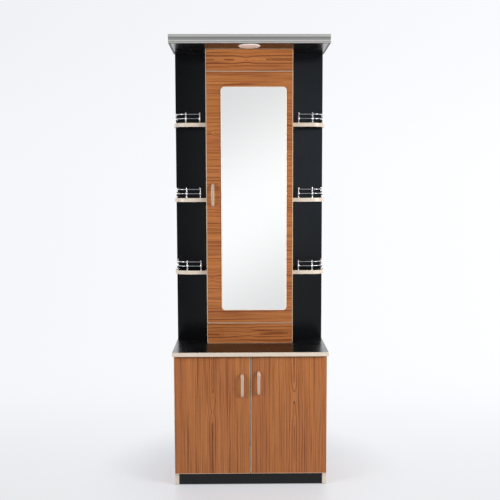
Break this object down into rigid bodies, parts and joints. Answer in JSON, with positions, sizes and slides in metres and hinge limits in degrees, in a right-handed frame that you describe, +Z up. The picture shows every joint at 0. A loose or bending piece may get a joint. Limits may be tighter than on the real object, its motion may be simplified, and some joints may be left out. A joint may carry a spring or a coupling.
{
  "type": "salon styling unit",
  "caption": "Free-standing salon styling unit: base cabinet with doors, hinged mirror door, open side shelves with gallery rails, and a canopy with a downlight.",
  "frame": {"origin": "on the floor under the middle of the unit's bounding box, midway between the worktop's front edge and the back panel's rear face", "axes": "+X to the right of someone who faces the mirror, +Y towards the wall behind the unit, +Z up"},
  "size_m": [0.7174, 0.354, 2.035],
  "materials": {
    "wood_laminate": "satin teak-coloured wood laminate with silver-grey edge band",
    "black_laminate": "semi-gloss black laminate with pale silver edge band",
    "edge_band": "pale silver-grey edge band of the boards",
    "silver_trim": "satin silver moulding",
    "chrome": "polished chrome plate",
    "satin_metal": "satin nickel plate",
    "hinge_steel": "nickel-plated pressed steel",
    "mirror": "silvered glass with a polished edge",
    "frosted_glass": "opal diffuser",
    "white_housing": "white painted lamp housing",
    "black_plastic": "moulded black glide"
  },
  "bodies": {
    "carcass": {"base_side_left": "wood_laminate", "base_side_right": "wood_laminate", "base_bottom_board": "wood_laminate", "base_front_rail": "wood_laminate", "base_shelf": "wood_laminate", "plinth_board": "black_laminate", "glide_front_left": "black_plastic", "glide_front_right": "black_plastic", "glide_rear_left": "black_plastic", "glide_rear_right": "black_plastic", "worktop": "black_laminate", "back_panel": "black_laminate", "tower_side_left": "wood_laminate", "tower_side_right": "wood_laminate", "tower_floor": "wood_laminate", "tower_roof": "wood_laminate", "tower_shelf_low": "wood_laminate", "tower_shelf_middle": "wood_laminate", "tower_shelf_top": "wood_laminate", "bottom_fascia": "wood_laminate", "top_fascia": "wood_laminate", "side_shelf_left_low": "black_laminate", "side_shelf_left_middle": "black_laminate", "side_shelf_left_top": "black_laminate", "side_shelf_right_low": "black_laminate", "side_shelf_right_middle": "black_laminate", "side_shelf_right_top": "black_laminate", "gallery_left_low": "chrome", "gallery_left_middle": "chrome", "gallery_left_top": "chrome", "gallery_right_low": "chrome", "gallery_right_middle": "chrome", "gallery_right_top": "chrome", "canopy_board": "black_laminate", "canopy_trim": "silver_trim", "downlight_housing": "white_housing", "downlight_ring": "white_housing", "downlight_lens": "frosted_glass", "hinge_arm_left_low": "hinge_steel", "hinge_arm_left_high": "hinge_steel", "hinge_arm_right_low": "hinge_steel", "hinge_arm_right_high": "hinge_steel", "hinge_arm_mirror_low": "hinge_steel", "hinge_arm_mirror_middle": "hinge_steel", "hinge_arm_mirror_high": "hinge_steel"},
    "left_base_leaf": {"base_door_left": "wood_laminate", "base_handle_left": "satin_metal", "hinge_cup_left_low": "hinge_steel", "hinge_cup_left_high": "hinge_steel"},
    "right_base_leaf": {"base_door_right": "wood_laminate", "base_handle_right": "satin_metal", "hinge_cup_right_low": "hinge_steel", "hinge_cup_right_high": "hinge_steel"},
    "mirror_leaf": {"mirror_door": "wood_laminate", "mirror_glass": "mirror", "mirror_handle": "satin_metal", "hinge_cup_mirror_low": "hinge_steel", "hinge_cup_mirror_middle": "hinge_steel", "hinge_cup_mirror_high": "hinge_steel"}
  },
  "joints": [
    {"name": "left_base_door_hinge", "type": "hinge", "parent": "carcass", "child": "left_base_leaf", "pos_m": [-0.34075, -0.1446, 0.3335], "axis": [0, 0, -1], "range_deg": [0, 105]},
    {"name": "right_base_door_hinge", "type": "hinge", "parent": "carcass", "child": "right_base_leaf", "pos_m": [0.34075, -0.1446, 0.3335], "axis": [0, 0, 1], "range_deg": [0, 105]},
    {"name": "mirror_door_hinge", "type": "hinge", "parent": "carcass", "child": "mirror_leaf", "pos_m": [0.1956, 0.031, 1.30975], "axis": [0, 0, 1], "range_deg": [0, 105]}
  ]
}
